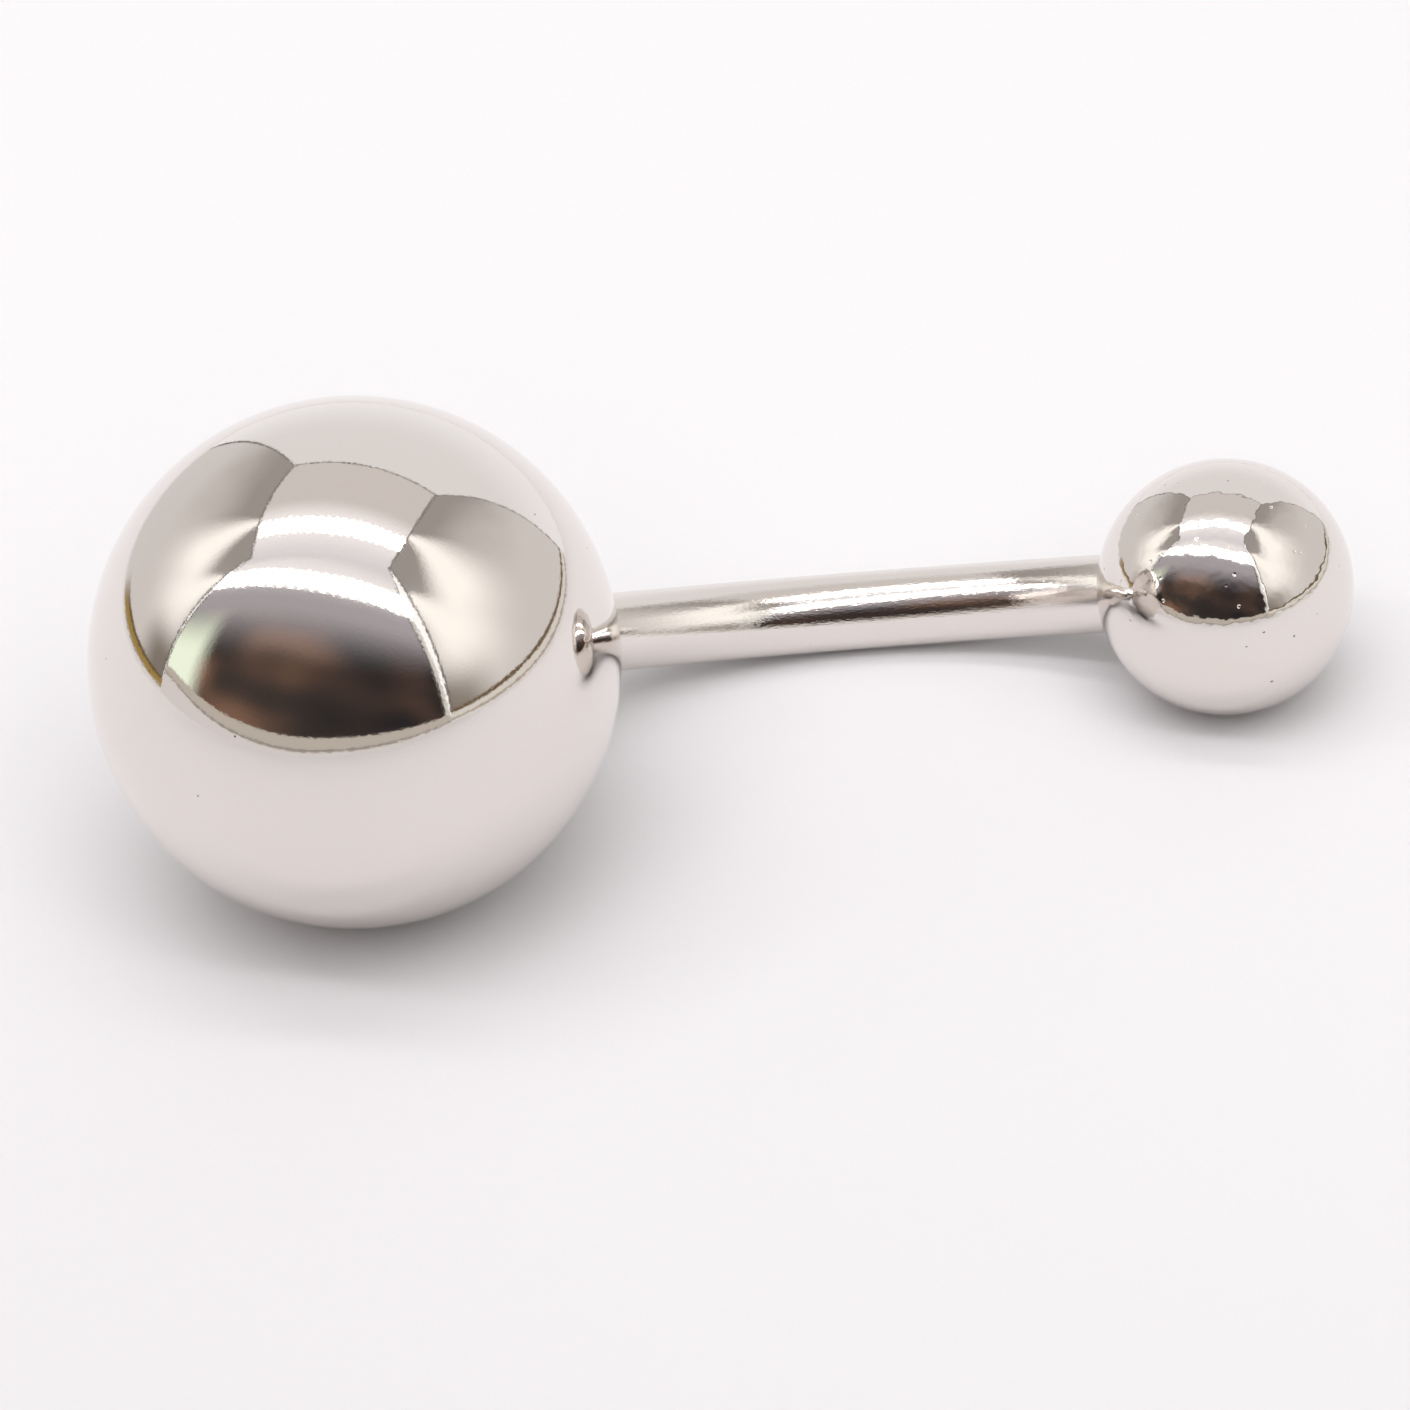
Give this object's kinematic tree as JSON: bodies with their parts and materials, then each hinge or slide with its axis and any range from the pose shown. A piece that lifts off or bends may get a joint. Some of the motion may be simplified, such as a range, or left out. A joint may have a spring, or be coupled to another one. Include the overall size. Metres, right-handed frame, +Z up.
{
  "type": "piercing barbell",
  "caption": "Curved piercing barbell: a bent round steel bar carries a large and a small ball on its screwed posts, which unscrew and come off.",
  "frame": {"origin": "on the surface that the barbell lies on, at the middle of its length and width", "axes": "+Z up from that surface, +X from the large ball to the small ball, +Y away from the side that the picture shows"},
  "size_m": [0.0247, 0.0106, 0.01],
  "materials": {
    "ball_steel": "mirror-polished stainless steel",
    "bar_steel": "polished stainless steel with fine lines along the bar"
  },
  "bodies": {
    "bar": {"bar": "bar_steel"},
    "large_ball": {"large_ball": "ball_steel"},
    "small_ball": {"small_ball": "ball_steel"}
  },
  "joints": [
    {"name": "large_ball_off", "type": "slide", "parent": "bar", "child": "large_ball", "axis": [-0.681, -0.5851, 0.4403], "range_m": [0, 0.003]},
    {"name": "small_ball_off", "type": "slide", "parent": "bar", "child": "small_ball", "axis": [0.6227, -0.7118, 0.3248], "range_m": [0, 0.003]}
  ]
}
